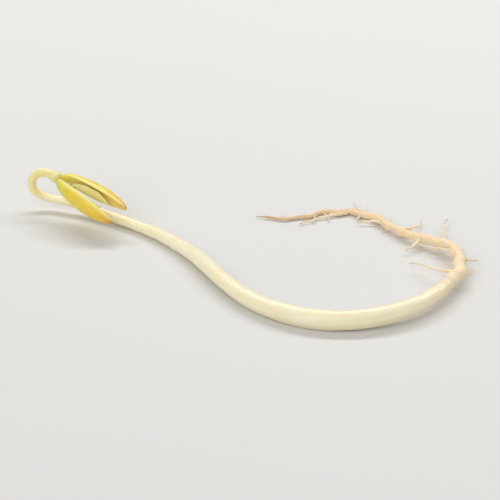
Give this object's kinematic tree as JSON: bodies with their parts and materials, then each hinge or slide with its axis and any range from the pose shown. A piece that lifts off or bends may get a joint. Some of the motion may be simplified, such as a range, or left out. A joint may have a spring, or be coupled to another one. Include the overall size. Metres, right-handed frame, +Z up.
{
  "type": "bean sprout",
  "caption": "Bean sprout lying on its side: white curved stem with a hooked neck, slim yellow seed leaves a little open, pale first leaves and a thin tan root.",
  "frame": {"origin": "on the surface that the sprout lies on, under the middle of its bounding box", "axes": "+Z up from the surface, +X along the sprout's longest side with the seed leaves at -X and the collar at +X, +Y away from the stem's belly"},
  "size_m": [0.0662, 0.0396, 0.0072],
  "materials": {
    "white_stem": "moist, smooth and slightly translucent",
    "tan_root": "moist and fibrous",
    "yellow_seed_leaf": "satin, faintly wrinkled",
    "pale_first_leaf": "soft, thin and veined"
  },
  "bodies": {
    "root": {"stem": "white_stem", "taproot": "tan_root", "seed_leaf_upper": "yellow_seed_leaf", "seed_leaf_lower": "yellow_seed_leaf", "first_leaves": "pale_first_leaf"}
  },
  "joints": []
}
